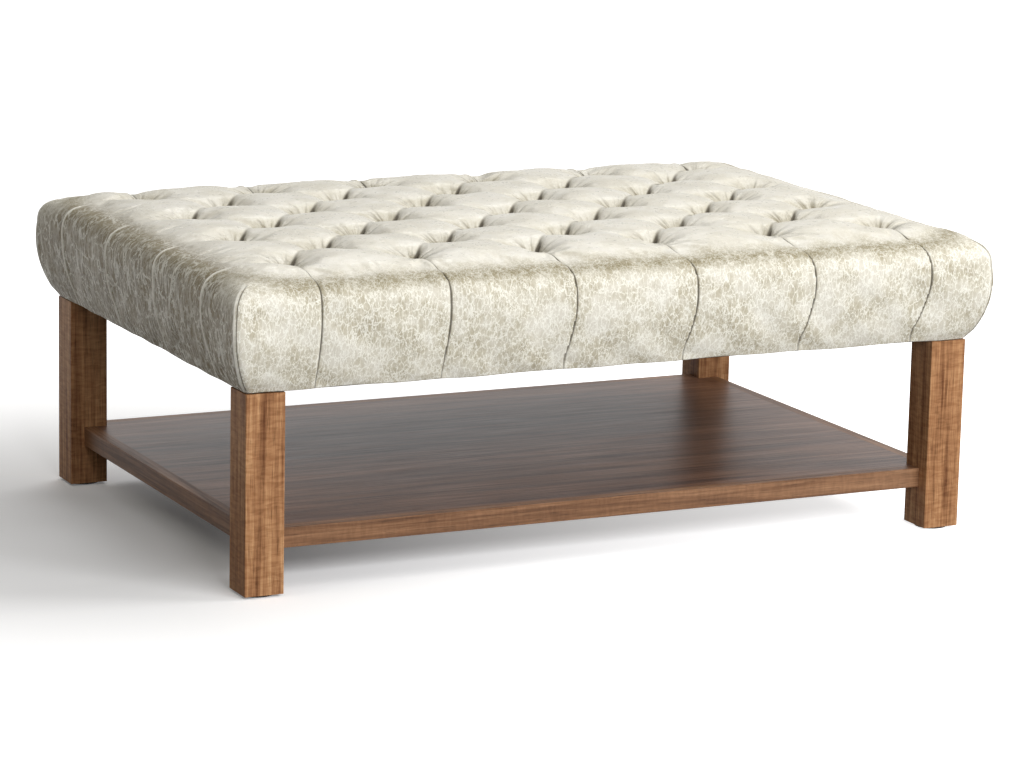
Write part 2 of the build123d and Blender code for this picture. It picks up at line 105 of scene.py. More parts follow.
floor_half = 30                                # half of the floor's side
floor_shown = (0.86, 0.865, 0.88, 1)           # its colour, as the camera sees it
floor_bounced = (0.22, 0.22, 0.225, 1)         # its colour, as it lights the object
floor_glow = 0.05                              # its own glow in the shadow, which rises to 1
shadow_middle = (-0.8, 0.05, 0)
near_floor, far_floor = 0.3, 1.65              # where the glow starts to rise and where it is full
room_light = 0.15
room_tint = (1, 0.95, 0.86, 1)

floor_mesh = bpy.data.meshes.new("studio_floor")
floor_mesh.from_pydata([(x, y, 0) for x, y in ((-1, -1), (1, -1), (1, 1), (-1, 1))], [], [(0, 1, 2, 3)])
floor = bpy.data.objects.new("studio_floor", floor_mesh)
floor.scale = (floor_half, floor_half, 1)
bpy.context.scene.collection.objects.link(floor)
floor_paint, tree = empty_material("studio_floor")
paint = node(tree, "BsdfDiffuse", {"Color": floor_shown})
bounce = node(tree, "BsdfDiffuse", {"Color": floor_bounced})
spot = node(tree, "NewGeometry").outputs["Position"]
# The floor's glow is dimmest round shadow_middle and full further out: a painted pool of shadow over the
# real one.
distance = node(tree, "VectorMath", {0: spot, 1: shadow_middle}, operation="DISTANCE").outputs["Value"]
glow = node(tree, "MapRange", {"Value": distance, "From Min": near_floor, "From Max": far_floor,
                               "To Min": floor_glow, "To Max": 1})
glow = node(tree, "Emission", {"Color": (1, 1, 1, 1), "Strength": glow.outputs[0]})
lit = node(tree, "AddShader", {0: paint.outputs[0], 1: glow.outputs[0]})
mixed = node(tree, "MixShader", {0: seen_directly(tree), 1: bounce.outputs[0], 2: lit.outputs[0]})
node(tree, "OutputMaterial", {"Surface": mixed.outputs[0]})
floor_mesh.materials.append(floor_paint)

room = bpy.data.worlds.new("studio_room")
room.use_nodes = True
room.node_tree.nodes.clear()
tree = room.node_tree
soft = node(tree, "Background", {"Color": room_tint, "Strength": room_light})
white = node(tree, "Background", {"Color": (1, 1, 1, 1), "Strength": 1})
shown = node(tree, "MixShader", {0: seen_directly(tree), 1: soft.outputs[0], 2: white.outputs[0]})
node(tree, "OutputWorld", {"Surface": shown.outputs[0]})
bpy.context.scene.world = room


def softbox(name, place, target, size, power, tint=(1, 1, 1)):
    """A softbox that faces a point, with its width and height in metres and its power in watts."""
    lamp = bpy.data.lights.new(name, "AREA")
    lamp.shape = "RECTANGLE"
    lamp.size, lamp.size_y = size
    lamp.energy = power
    lamp.color = tint
    holder = bpy.data.objects.new(name, lamp)
    holder.location = place
    holder.rotation_euler = (Vector(target) - Vector(place)).to_track_quat("-Z", "Y").to_euler()
    bpy.context.scene.collection.objects.link(holder)


softbox("right_softbox", (2.3, -1.2, 2.1), (0, 0, 0.3), (1.2, 1.2), 38, (1, 0.985, 0.96))
softbox("front_softbox", (0.4, -3.8, 1.9), (0, 0, 0.3), (3.8, 1.0), 166)
softbox("left_softbox", (-2.4, -0.5, 2.3), (-0.6, 0, 0.4), (1.0, 1.0), 10, (1, 0.96, 0.88))
softbox("back_softbox", (1.0, 2.1, 2.8), (0, 0, 0.4), (2.6, 1.2), 44)
bpy.context.scene.view_settings.view_transform = "Standard"


# The legs. Four square posts of solid walnut, sawn with the grain upright, planed, eased along
# their edges and wiped with a warm stain. A bolt holds each to the seat frame.
def place_in(tree, stretch, turned=(0, 0, 0)):
    """The place on the real piece in metres, turned, then stretched along its own axes."""
    spot = node(tree, "TexCoord").outputs["Object"]
    spin = node(tree, "Mapping", {"Vector": spot, "Rotation": turned})
    return node(tree, "Mapping", {"Vector": spin.outputs[0], "Scale": stretch}).outputs[0]


def ramp(tree, fac, stops):
    """A colour ramp: stops are (place, colour) pairs, with a grey given as one number."""
    made = node(tree, "ValToRGB", {"Fac": fac})
    band = made.color_ramp.elements
    while len(band) < len(stops):
        band.new(0.5)
    for mark, (where, colour) in zip(band, stops):
        mark.position = where
        mark.color = (colour,) * 3 + (1,) if isinstance(colour, (int, float)) else colour + (1,)
    return made.outputs["Color"]


def mix(tree, kind, fac, a, b):
    """Two colours mixed the given way."""
    made = node(tree, "Mix", {0: fac, 6: a, 7: b}, data_type="RGBA", blend_type=kind)
    return made.outputs[2]


def sum_of(tree, a, b, kind="ADD"):
    """Two numbers put together, by default added."""
    return node(tree, "Math", {0: a, 1: b}, operation=kind).outputs[0]


def noise(tree, spot, size, detail=4, roughness=0.55, twist=0):
    """Noise with patches of about the given size in metres."""
    return node(tree, "TexNoise", {"Vector": spot, "Scale": 1 / size, "Detail": detail,
                                   "Roughness": roughness, "Distortion": twist}).outputs["Fac"]


def bump(tree, height, distance, strength=1, under=None):
    """Relief that stands the given distance high."""
    made = node(tree, "Bump", {"Height": height, "Distance": distance, "Strength": strength})
    if under is not None:
        tree.links.new(under, made.inputs["Normal"])
    return made.outputs[0]


def finish_of(tree, colour, roughness, relief=None, **settings):
    """Gives a material its shader and its output."""
    shader = node(tree, "BsdfPrincipled", {"Base Color": colour, "Roughness": roughness})
    for name, value in settings.items():
        shader.inputs[name.replace("_", " ")].default_value = value
    if relief is not None:
        tree.links.new(relief, shader.inputs["Normal"])
    node(tree, "OutputMaterial", {"Surface": shader.outputs[0]})


grain_up = (0, 0, 0)
grain_along_x = (0, radians(90), 0)
grain_along_y = (radians(90), 0, 0)
band_width, streak_width, pore_width, curl_width = 0.022, 0.0035, 0.0011, 0.006
pore_depth = 0.00015


def walnut(name, grain, dark, middle, light, figure, roughness, shine):
    """Stained walnut: growth bands, brown streaks, a curl across them and short open pores."""
    material, tree = empty_material(name)
    bands = noise(tree, place_in(tree, (1, 1, 0.06), grain), band_width, 3, 0.5, 0.6)
    streaks = noise(tree, place_in(tree, (1, 1, 0.025), grain), streak_width, 5, 0.65)
    pores = noise(tree, place_in(tree, (1, 1, 0.04), grain), pore_width, 2, 0.5)
    curl = noise(tree, place_in(tree, (0.25, 0.25, 1), grain), curl_width, 2, 0.5, 0.8)
    tone = mix(tree, "MIX", 0.45, bands, streaks)
    colour = ramp(tree, tone, [(0.36, dark), (0.5, middle), (0.64, light)])
    pore = ramp(tree, pores, [(0.30, 0.45), (0.42, 1.0)])
    colour = mix(tree, "MULTIPLY", 0.75, colour, pore)
    colour = mix(tree, "SOFT_LIGHT", figure, colour, ramp(tree, curl, [(0.35, 0.15), (0.65, 0.85)]))
    rough = ramp(tree, streaks, [(0.3, roughness + 0.08), (0.7, roughness - 0.04)])
    finish_of(tree, colour, rough, bump(tree, pore, pore_depth, 0.6), Specular_IOR_Level=shine)
    return material


def dress(nodes, material):
    """Carried-over pieces take a material."""
    for name in nodes:
        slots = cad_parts[name].data.materials
        slots.clear()
        slots.append(material)


corners = [f"{end}_{side}" for end in ("front", "back") for side in ("left", "right")]
leg_walnut = walnut("leg_walnut", grain_up, (0.14, 0.056, 0.025), (0.36, 0.178, 0.083),
                    (0.56, 0.32, 0.16), figure=0.35, roughness=0.42, shine=0.06)
dress([f"leg_{corner}" for corner in corners], leg_walnut)


# The glides. A round brown plastic disc is nailed under each leg, so that the ottoman slides
# over a floor and the end grain of the leg stays dry.
def moulded(name, colour, roughness):
    """Moulded plastic, with a fine spark-eroded skin and a little dust in it."""
    material, tree = empty_material(name)
    skin = noise(tree, place_in(tree, (1, 1, 1)), 0.0006, 3)
    haze = noise(tree, place_in(tree, (1, 1, 1)), 0.02, 3)
    tone = mix(tree, "MULTIPLY", 0.4, colour + (1,), ramp(tree, haze, [(0.3, 0.7), (0.7, 1.0)]))
    finish_of(tree, tone, roughness, bump(tree, skin, 0.00005, 0.4))
    return material


def metal(name, colour, roughness):
    """Plated steel, drawn and slightly uneven."""
    material, tree = empty_material(name)
    drawn = noise(tree, place_in(tree, (1, 1, 0.1)), 0.0012, 3)
    rough = ramp(tree, drawn, [(0.3, roughness - 0.08), (0.7, roughness + 0.1)])
    finish_of(tree, colour + (1,), rough, bump(tree, drawn, 0.00003, 0.3), Metallic=1)
    return material


glide_plastic = moulded("glide_plastic", (0.03, 0.022, 0.018), 0.5)
plated_steel = metal("plated_steel", (0.62, 0.6, 0.56), 0.32)
dress([f"glide_{corner}" for corner in corners], glide_plastic)
dress(["glide_nails", "cross_rail_screws", "deck_screws", "leg_bolts", "tee_nuts", "cover_tacks"],
      plated_steel)


# The shelf. A walnut-veneered board under a satin lacquer, notched round the legs. Its edges are
# four solid walnut strips, tongued to it, and the strips are dowelled into the legs.
shelf_walnut = walnut("shelf_walnut", grain_along_x, (0.05, 0.02, 0.011), (0.12, 0.055, 0.03),
                      (0.2, 0.1, 0.058), figure=0.1, roughness=0.34, shine=0.28)
strip_along = walnut("strip_walnut_along", grain_along_x, (0.08, 0.036, 0.017), (0.19, 0.092, 0.045),
                     (0.31, 0.165, 0.086), figure=0.15, roughness=0.4, shine=0.25)
strip_across = walnut("strip_walnut_across", grain_along_y, (0.08, 0.036, 0.017), (0.18, 0.087, 0.043),
                      (0.3, 0.16, 0.083), figure=0.15, roughness=0.4, shine=0.2)
dress(["shelf_panel"], shelf_walnut)
dress(["shelf_lipping_front", "shelf_lipping_back"], strip_along)
dress(["shelf_lipping_left", "shelf_lipping_right"], strip_across)


# The seat frame. Four posts over the legs, four rails and two cross rails of sawn poplar, dowelled
# and glued, and a plywood deck screwed on top with a hole under each tuft.
def sawn_wood(name, grain, dark, light):
    """Plain sawn wood, unfinished, with a rough fibrous face."""
    material, tree = empty_material(name)
    bands = noise(tree, place_in(tree, (1, 1, 0.05), grain), 0.014, 3)
    fibres = noise(tree, place_in(tree, (1, 1, 0.03), grain), 0.0016, 4, 0.7)
    tone = mix(tree, "MIX", 0.5, bands, fibres)
    colour = ramp(tree, tone, [(0.35, dark), (0.65, light)])
    finish_of(tree, colour, 0.75, bump(tree, fibres, 0.0002, 0.7))
    return material


def plywood(name):
    """Birch plywood: pale face veneers, and stripes of plies along its edges."""
    material, tree = empty_material(name)
    face = noise(tree, place_in(tree, (1, 1, 1), grain_along_x), 0.03, 4, 0.6, 0.5)
    ply = node(tree, "TexWave", {"Vector": place_in(tree, (1, 1, 1)), "Scale": 130, "Distortion": 0.4},
               bands_direction="Z").outputs["Fac"]
    veneer = ramp(tree, face, [(0.3, (0.5, 0.36, 0.22)), (0.7, (0.66, 0.5, 0.33))])
    tone = mix(tree, "MULTIPLY", 0.35, veneer, ramp(tree, ply, [(0.4, 0.55), (0.6, 1.0)]))
    finish_of(tree, tone, 0.7, bump(tree, face, 0.0001, 0.5))
    return material


poplar_dark, poplar_light = (0.42, 0.32, 0.19), (0.6, 0.49, 0.31)
poplar_up = sawn_wood("poplar_up", grain_up, poplar_dark, poplar_light)
poplar_along = sawn_wood("poplar_along", grain_along_x, poplar_dark, poplar_light)
poplar_across = sawn_wood("poplar_across", grain_along_y, poplar_dark, poplar_light)
beech = sawn_wood("beech_dowel", grain_along_x, (0.5, 0.33, 0.19), (0.66, 0.47, 0.3))
dress([f"corner_post_{corner}" for corner in corners], poplar_up)
dress(["seat_rail_front", "seat_rail_back"], poplar_along)
dress(["seat_rail_left", "seat_rail_right", "cross_rail_left", "cross_rail_right"], poplar_across)
dress(["frame_dowels", "shelf_dowels"], beech)
dress(["seat_deck"], plywood("birch_plywood"))


# The tufting twines. A waxed twine holds each tuft, from a knot under the leather down through the
# foam and the deck, and a fibre washer under the deck takes its pull.
def twisted(name, colour):
    """Waxed twine, laid up of fine strands."""
    material, tree = empty_material(name)
    strand = node(tree, "TexWave", {"Vector": place_in(tree, (1, 1, 1)), "Scale": 160, "Distortion": 1},
                  bands_direction="DIAGONAL").outputs["Fac"]
    tone = mix(tree, "MULTIPLY", 0.5, colour + (1,), ramp(tree, strand, [(0.2, 0.5), (0.8, 1.0)]))
    finish_of(tree, tone, 0.6, bump(tree, strand, 0.0003, 0.6))
    return material


def fibre_board(name, colour):
    """Pressed fibre board, flecked."""
    material, tree = empty_material(name)
    fleck = noise(tree, place_in(tree, (1, 1, 1)), 0.0018, 4, 0.7)
    tone = mix(tree, "MULTIPLY", 0.6, colour + (1,), ramp(tree, fleck, [(0.35, 0.55), (0.6, 1.0)]))
    finish_of(tree, tone, 0.8, bump(tree, fleck, 0.0001, 0.5))
    return material


dress(["tuft_twines"], twisted("waxed_twine", (0.62, 0.56, 0.44)))
dress(["twine_washers"], fibre_board("washer_fibre", (0.34, 0.24, 0.15)))


# The seat cover. One hide is laid over wadding and foam, pulled down at 39 points in two grids half a
# pitch out of step, and its slack is tucked into diamond folds and, over the edge, into pleats. Each
# corner is closed by a seam, and the hem turns under the frame and is tacked there.
leg_low, leg_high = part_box("leg_front_left")
tufts_along, tufts_across, tuft_margin = 6, 4, 0.1025
base_half = np.array([-leg_low.x, -leg_low.y])
tuft_half = base_half - tuft_margin
last_tuft = np.array([tufts_along - 1, tufts_across - 1])
half_pitch = tuft_half / last_tuft
swell = leg_low.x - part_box("leather_cover")[0].x
seat_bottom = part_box("leather_cover")[0].z

cells = 20                                     # mesh cells in half a tuft pitch
top_cells = np.array([117, 78])                # mesh cells from the middle to the shoulder
roll_rings, side_rings, hem_rings = 13, 23, 6  # rings of points down the side, ends counted
shoulder = top_cells * half_pitch / cells
shoulder_inset = base_half + swell - shoulder

crest_height = 0.4725                          # heights over the floor
shoulder_height, end_shoulder_height = 0.459, 0.4625
widest_height = 0.415
shoulder_slope = 0.25                          # how steeply the crests fall at the shoulder
flat_inset = 0.118                             # how far inside the widest line they are level
corner_radius, corner_bend = 0.006, 0.06
side_radius = 0.27625
hem_radius, hem_width, hem_lift = 0.003, 0.045, 0.0004
leather_thickness = 0.0016
foot_fade = 0.012                              # the relief dies out this far over the hem

fold_depth = 0.0060                            # depths under the crests, and their reach
tuft_fold_depth, tuft_fold_reach = 0.009, 0.038
tuft_depth, tuft_reach = 0.013, 0.012
pull_depth, pull_reach = 0.012, 0.030
pleat_depth, pleat_fade = 0.0015, 0.045
valley_start, valley_run = 0.005, 0.022        # how deep the brown of the valleys, patina with painted shade, starts, and its run

pleat_lean, lean_start, lean_run = 0.010, 0.09, 0.16
fold_bow, fold_sway = 0.08, 0.04               # sideways bends of the folds, in half puffs
pleat_start = 0.01
end_ridge, end_ridge_width = 0.0022, 0.0028
ridge_start, ridge_run = 0.08, 0.03
spare_pleat, spare_pleat_out, spare_pleat_slope, spare_pleat_reach = -0.172, 0.15, 0.3, 0.035
seam_depth, seam_width = 0.0022, 0.0022
slit_depth, slit_width, slit_reach = 0.006, 0.0028, 0.036
lip, lip_width = 0.003, 0.009
uneven, uneven_waves, uneven_lengths = 0.0007, 9, (0.05, 0.13)

crease_reach, crease_least, crease_start = 0.052, 0.022, 0.006
crease_depths, back_share, front_share = (0.0008, 0.0024), 1.5, 0.7
crease_width, crease_spread = 0.0013, 0.09     # width at the tuft, and how much it grows outwards
crease_counts, crease_jitter, crease_turn = (7, 11), 0.32, 6
crease_shade = 0.35

tuck_shift, cross_shift, pleat_shift = 0.03, 0.02, -0.02  # the painted shadow lines lie beside their lips
tuck_faint, cross_faint, pleat_faint = 0.16, 0.35, 0.3    # and how dark they stay far from a tuft
pleat_dark_out, pleat_dark_run = 0.1, 0.22

corner_reach, corner_calm = 0.06, 0.02         # reach of a corner's fullness, and of its seam
corner_lip, corner_lip_width = 0.0016, 0.005
corner_fullness, low_fullness = 0.003, 0.006
fullness_top, fullness_run = 0.46, 0.03
seam_over, seam_run = 0.006, 0.02              # how far the corner seam runs over the shoulder
hem_wave, hem_wave_up, hem_wave_out = 0.0011, 0.05, 0.15
knot_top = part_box("tuft_twines")[1].z + 0.001
knot_radius, knot_fall = 0.003, 2.0

tied_near, tied_out = 0.008, 0.085             # where the leather is held while it settles
settle_steps, settle_most = 8, 0.0022

draws = np.random.default_rng(7)
tufts = np.array([(i, j) for i in range(-last_tuft[0], last_tuft[0] + 1)
                  for j in range(-last_tuft[1], last_tuft[1] + 1)
                  if (i % 2 and j % 2) or not (i % 2 or j % 2)]) * half_pitch


def crest_drop(inset, rim, full):
    """How far the crests sink at a distance inside the widest line, and how steeply."""
    run = flat_inset - rim
    far = np.clip((inset - rim) / run, 0, 1)
    drop = full * (2 * far**3 - 3 * far**2 + 1) - shoulder_slope * run * (far**3 - 2 * far**2 + far)
    fall = (full * (6 * far**2 - 6 * far) - shoulder_slope * run * (3 * far**2 - 4 * far + 1)) / run
    return drop, fall


def belly(share):
    """The curve across a puff, from 0 in its fold to 1 on its crest: steep first, then taut."""
    return (1 - (1 - np.clip(share, 0, 1))**2.6)**0.55


def nearest_even(share):
    """Signed distance to the nearest fold of one diagonal family, in half puffs."""
    return share - 2 * np.round(share / 2)


def from_pleat(share, last):
    """Signed distance to the nearest pleat, in half tuft pitches: pleats lie at the odd numbers."""
    return share - np.clip(2 * np.round((share - 1) / 2) + 1, -last, last)


def overlap(side, width):
    """The step where one fold of leather lies over the next: a lip before it, a drop after it."""
    return np.where(side > 0, np.exp(-np.abs(side) / width), -1.2 * np.exp(-np.abs(side) / (1.4 * width)))


def from_tuft(flat):
    """The way from the nearest tuft to each place on the flat hide."""
    away = np.full(flat.shape, 9.0)
    for tuft in tufts:
        nearer = np.hypot(*(flat - tuft).T) < np.hypot(*away.T)
        away[nearer] = (flat - tuft)[nearer]
    return away


def pulled_creases(flat, height, crease):
    """Short creases that the pull of each tuft draws into the leather round it, with painted shade along
    them.
    """
    for tuft in tufts:
        near = np.flatnonzero(np.abs(flat - tuft).max(1) < crease_reach)
        away = flat[near] - tuft
        distance, bearing = np.hypot(*away.T), np.arctan2(away[:, 1], away[:, 0])
        count = draws.integers(*crease_counts)
        jitter = draws.uniform(-crease_jitter, crease_jitter, count)
        bearings = (np.arange(count) + jitter) * 2 * pi / count
        for aim in bearings + draws.uniform(0, 2 * pi):
            length = draws.uniform(crease_least, crease_reach)
            deep = draws.uniform(*crease_depths) * (back_share if sin(aim) > 0.2 else front_share)
            turn = draws.uniform(-crease_turn, crease_turn)
            off = (bearing - aim - turn * distance + pi) % (2 * pi) - pi
            side = np.abs(np.sin(off) * distance) / (crease_width + crease_spread * distance)
            along = np.clip(1 - distance / length, 0, 1) * np.clip(distance / crease_start, 0, 1)
            along *= np.cos(off) > 0
            height[near] -= deep * along * (1 - 0.7 * side**2) * np.exp(-side**2)
            # Painted shade along the crease.
            crease[near] = np.maximum(crease[near], crease_shade * along * np.exp(-(2 * side)**2))


def folds_near(flat):
    """Signed distances to the nearest diagonal folds, in half puffs, and to the nearest pleats, in half
    tuft pitches, and how far each place lies beyond the outer tufts, in metres."""
    along, across = (flat / half_pitch).T
    beyond = np.clip(np.abs(flat) - tuft_half, 0, None)
    out = np.hypot(*beyond.T)
    inside = np.clip((last_tuft - np.abs(flat / half_pitch)).min(1) / 0.4, 0, 1)
    first, second = nearest_even(along + across), nearest_even(along - across)
    bow = fold_bow * inside * np.sin(pi * first / 2)**2 * (1 - second**2)**2
    sway = fold_sway * inside * np.sin(pi * second / 2)**2 * (1 - first**2)**2
    lean = pleat_lean * np.sin(pi * np.clip((out - lean_start) / lean_run, 0, 1))
    more_lean = np.clip(1 + 0.9 * along / last_tuft[0], 0, 2)
    step_x = from_pleat(along, last_tuft[0]) - lean * more_lean / half_pitch[0]
    step_y = from_pleat(across, last_tuft[1]) - lean / half_pitch[1]
    return first + sway, second + bow, step_x, step_y, beyond, out


def puff_height(flat):
    """Height of the puffs, folds and tufts over the crests, at places on the flat hide."""
    first, second, step_x, step_y, beyond, out = folds_near(flat)
    past_x, past_y = beyond.T / half_pitch[:, None]
    puffs = belly(np.abs(first)) * belly(np.abs(second))
    front_back = belly(np.abs(step_x)) * belly(np.abs(step_x) + past_y)
    ends = belly(np.abs(step_y)) * belly(np.abs(step_y) + past_x)
    corner = belly(past_x) * belly(past_y)
    puffs = np.select([(past_x > 0) & (past_y > 0), past_y > 0, past_x > 0],
                      [corner, front_back, ends], puffs)
    to_tuft = np.hypot(*from_tuft(flat).T)
    fold = fold_depth + tuft_fold_depth * np.exp(-(to_tuft / tuft_fold_reach)**2)
    depth = pleat_depth + (fold - pleat_depth) * np.exp(-(out / pleat_fade)**1.2)
    return (-depth * (1 - puffs) - tuft_depth * np.exp(-to_tuft / tuft_reach)
            - pull_depth * np.exp(-to_tuft / pull_reach)), to_tuft


def fine_relief(flat):
    """Height of the lips, slits and small creases, how dark each place is painted as crease shade, how
    far it lies beyond the outer tufts, and the lines to paint, the painted shadow lines and pale rims,
    each with its signed distances and its strength."""
    first, second, step_x, step_y, beyond, out = folds_near(flat)
    half_puff = np.hypot(*half_pitch) / 2
    out_x, out_y = beyond[:, 0] > 0, beyond[:, 1] > 0
    lattice = (~out_x & ~out_y).astype(float)
    tucked = lattice * np.exp(-(first * half_puff / slit_reach)**2)
    crossed = lattice * np.exp(-(second * half_puff / slit_reach)**2)
    slit = tucked * np.exp(-(second * half_puff / slit_width)**2)
    crease = 0.5 * crossed * np.exp(-(first * half_puff / slit_width)**2)
    height = tucked * lip * overlap(second * half_puff, lip_width)
    height += 0.5 * crossed * lip * overlap(first * half_puff, lip_width)

    on_end = out_x & (~out_y | (beyond[:, 0] > beyond[:, 1]))
    pleat_side = np.where(on_end, -step_y * half_pitch[1], step_x * half_pitch[0])
    pleated = (out_x | out_y) * (1 - np.exp(-out / pleat_start))
    front_pleat = pleated * ~on_end
    height += front_pleat * lip * 0.7 * overlap(-pleat_side, lip_width)
    seam = front_pleat * np.exp(-(pleat_side / seam_width)**2)
    ridged = pleated * on_end * np.clip((out - ridge_start) / ridge_run, 0, 1)
    past_spare = out - spare_pleat_out
    spare_side = flat[:, 1] - spare_pleat - spare_pleat_slope * past_spare
    spare = on_end * (flat[:, 0] < 0) * np.exp(-(past_spare / spare_pleat_reach)**4) * 0.9
    height += end_ridge * ridged * np.exp(-(pleat_side / end_ridge_width)**2)
    height += end_ridge * spare * np.exp(-(spare_side / end_ridge_width)**2)
    height -= slit_depth * np.maximum(slit, crease) + seam_depth * seam
    for wave in range(uneven_waves):
        aim, phase = draws.uniform(0, 2 * pi, 2)
        length = draws.uniform(*uneven_lengths)
        height += uneven / 2 * np.sin(2 * pi / length * (flat @ (cos(aim), sin(aim))) + phase)
    dark = np.zeros(len(flat))
    pulled_creases(flat, height, dark)
    pleat_dark = np.clip(1.5 - (out - pleat_dark_out) / pleat_dark_run, pleat_faint, 1)
    # The tuck, cross and pleat lines are painted shadow beside their lips; ridge and spare are pale rims.
    lines = {
        "tuck": (second + tuck_shift, np.maximum(tucked**0.5, tuck_faint * lattice)),
        "cross": (first + cross_shift, np.maximum(crossed**0.4, cross_faint * lattice)),
        "pleat": (step_x + pleat_shift, front_pleat * pleat_dark),
        "ridge": (step_y, ridged),
        "spare": (np.clip(spare_side / half_pitch[1], -1, 1), spare),
    }
    return height, dark, out, lines


def along_side(place, rim, half, depth, radius):
    """Points along one side of a rounded rectangle: along it, out from it, and which way each faces."""
    bend_start = rim - corner_bend
    straight_end = half - radius
    bent = np.clip((np.abs(place) - bend_start) / corner_bend, 0, 1)
    run = bent * (straight_end - bend_start + radius * pi / 4)
    straight = np.minimum(run, straight_end - bend_start)
    turned = (run - straight) / max(radius, 1e-6)
    side = np.minimum(np.abs(place), bend_start) + straight + radius * np.sin(turned)
    return (np.sign(place) * side, depth - radius + radius * np.cos(turned),
            np.sign(place) * np.sin(turned), np.cos(turned))


def shoulder_curve(share):
    """The roll from the shoulder, at 0, down to the widest line, at 1: how far out, how far down."""
    keep, run = 1 - share, share
    reach = 3 * keep**2 * run * 0.72 + 3 * keep * run**2 + run**3
    drop = 3 * keep**2 * run * 0.155 + 3 * keep * run**2 * 0.33 + run**3
    return reach, drop


# The rings of the side, from the shoulder down: how far inside the widest line as a share of the
# shoulder's inset, how far down the roll, how far the side is drawn in, and the height under it.
rolls = map(shoulder_curve, np.linspace(0, 1, roll_rings)[1:])
rings = [(1 - reach, drop, 0.0, 0.0) for reach, drop in rolls]
for z in np.linspace(widest_height, seat_bottom + hem_radius, side_rings)[1:]:
    bulge = np.sqrt(side_radius**2 - (z - widest_height)**2) - side_radius
    rings.append((0.0, 1.0, bulge, z - widest_height))
foot_in, foot_down = rings[-1][2:]
for turned in (pi / 6, pi / 3, pi / 2):
    rings.append((0.0, 1.0, foot_in - hem_radius * (1 - cos(turned)),
                  foot_down - hem_radius * sin(turned) + hem_lift))
hem_down = foot_down - hem_radius + hem_lift
for inward in np.linspace(0, hem_width, hem_rings)[1:]:
    rings.append((0.0, 1.0, foot_in - hem_radius - inward, hem_down))
rings.append((0.0, 1.0, foot_in - hem_radius - hem_width, hem_down + leather_thickness))

nx, ny = 2 * top_cells
grid_x, grid_y = (np.linspace(-edge, edge, count + 1) for edge, count in zip(shoulder, (nx, ny)))
flat_top = np.stack(np.meshgrid(grid_x, grid_y, indexing="ij"), 2).reshape(-1, 2)
number = np.arange(len(flat_top)).reshape(nx + 1, ny + 1)
around = np.concatenate([number[:-1, 0], number[-1, :-1], number[:0:-1, -1], number[0, :0:-1]])
columns = len(around)

# The top: crests that sink towards the shoulder, and the way each point faces.
inset = base_half + swell - np.abs(flat_top)
drop_x, fall_x = crest_drop(inset[:, 0], shoulder_inset[0], crest_height - end_shoulder_height)
drop_y, fall_y = crest_drop(inset[:, 1], shoulder_inset[1], crest_height - shoulder_height)
drop = (drop_x**4 + drop_y**4)**0.25
share_x, share_y = (drop_x / np.maximum(drop, 1e-9))**3, (drop_y / np.maximum(drop, 1e-9))**3
slant = np.column_stack([fall_x * share_x, fall_y * share_y]) * np.sign(flat_top)
envelope = [np.column_stack([flat_top, crest_height - drop])]
facing = [np.column_stack([-slant, np.ones(len(flat_top))])]
flat_places = [flat_top]

# The four sides in turn, each seen from outside with its run to the right.
sides = [(0, np.array([1, 0]), np.array([0, -1])), (1, np.array([0, 1]), np.array([1, 0])),
         (0, np.array([-1, 0]), np.array([0, 1])), (1, np.array([0, -1]), np.array([-1, 0]))]
rim_height = envelope[0][around, 2]
travelled = np.zeros(columns)
before = None
for inset_share, rolled, bulge, under in rings:
    ring, normals, flats = [], [], []
    rounding = corner_radius * min(1, 3 * (1 - inset_share))
    for axis, run_way, out_way in sides:
        count = (nx, ny)[axis]
        place = np.linspace(-shoulder[axis], shoulder[axis], count + 1)[:-1]
        offset = swell - inset_share * shoulder_inset[[axis, 1 - axis]] + bulge
        half, depth = base_half[[axis, 1 - axis]] + offset
        side, away, lean, face = along_side(place, shoulder[axis], half, depth, rounding)
        ring.append(side[:, None] * run_way + away[:, None] * out_way)
        normals.append(lean[:, None] * run_way + face[:, None] * out_way)
        flats.append((place, run_way, out_way, axis))
    ring, normals = np.vstack(ring), np.vstack(normals)
    height = rim_height + (widest_height - rim_height) * rolled + under
    now = np.column_stack([ring, height])
    last = envelope[0][around] if before is None else before
    travelled = travelled + np.linalg.norm(now - last, axis=1)
    step = now - last
    out_step = (step[:, :2] * normals).sum(1)
    facing.append(np.column_stack([normals * -step[:, 2:3], out_step]))
    hide = []
    begun = 0
    for place, run_way, out_way, axis in flats:
        part = travelled[begun:begun + len(place)]
        begun += len(place)
        hide.append(place[:, None] * run_way + (shoulder[1 - axis] + part)[:, None] * out_way)
    flat_places.append(np.vstack(hide))
    envelope.append(now)
    before = now

envelope, facing, flat_places = map(np.vstack, (envelope, facing, flat_places))
facing /= np.maximum(np.linalg.norm(facing, axis=1, keepdims=True), 1e-9)
relief, to_tuft = puff_height(flat_places)

# On the hem the leather lies flat, and the side's relief dies out towards it.
above_foot = np.clip((envelope[:, 2] - seat_bottom) / foot_fade, 0, 1)
points = envelope + facing * (relief * above_foot)[:, None]

quads = [np.stack([number[:-1, :-1], number[1:, :-1], number[1:, 1:], number[:-1, 1:]], 2).reshape(-1, 4)]
upper = around
for k in range(len(rings)):
    lower = len(flat_top) + k * columns + np.arange(columns)
    quads.append(np.stack([upper, lower, np.roll(lower, -1), np.roll(upper, -1)], 1))
    upper = lower

cover_mesh = bpy.data.meshes.new("seat_cover")
cover_mesh.from_pydata(points.tolist(), [], np.vstack(quads).tolist())
cover = bpy.data.objects.new("seat_cover", cover_mesh)
bpy.context.scene.collection.objects.link(cover)


def paint_on(mesh, name, values):
    """Keeps one number for each point of a mesh."""
    mesh.attributes.new(name, "FLOAT", "POINT").data.foreach_set("value", values.astype(np.float32))


def kept_on(mesh, name):
    """The numbers that paint_on kept."""
    values = np.zeros(len(mesh.vertices), np.float32)
    mesh.attributes[name].data.foreach_get("value", values)
    return values.astype(float)


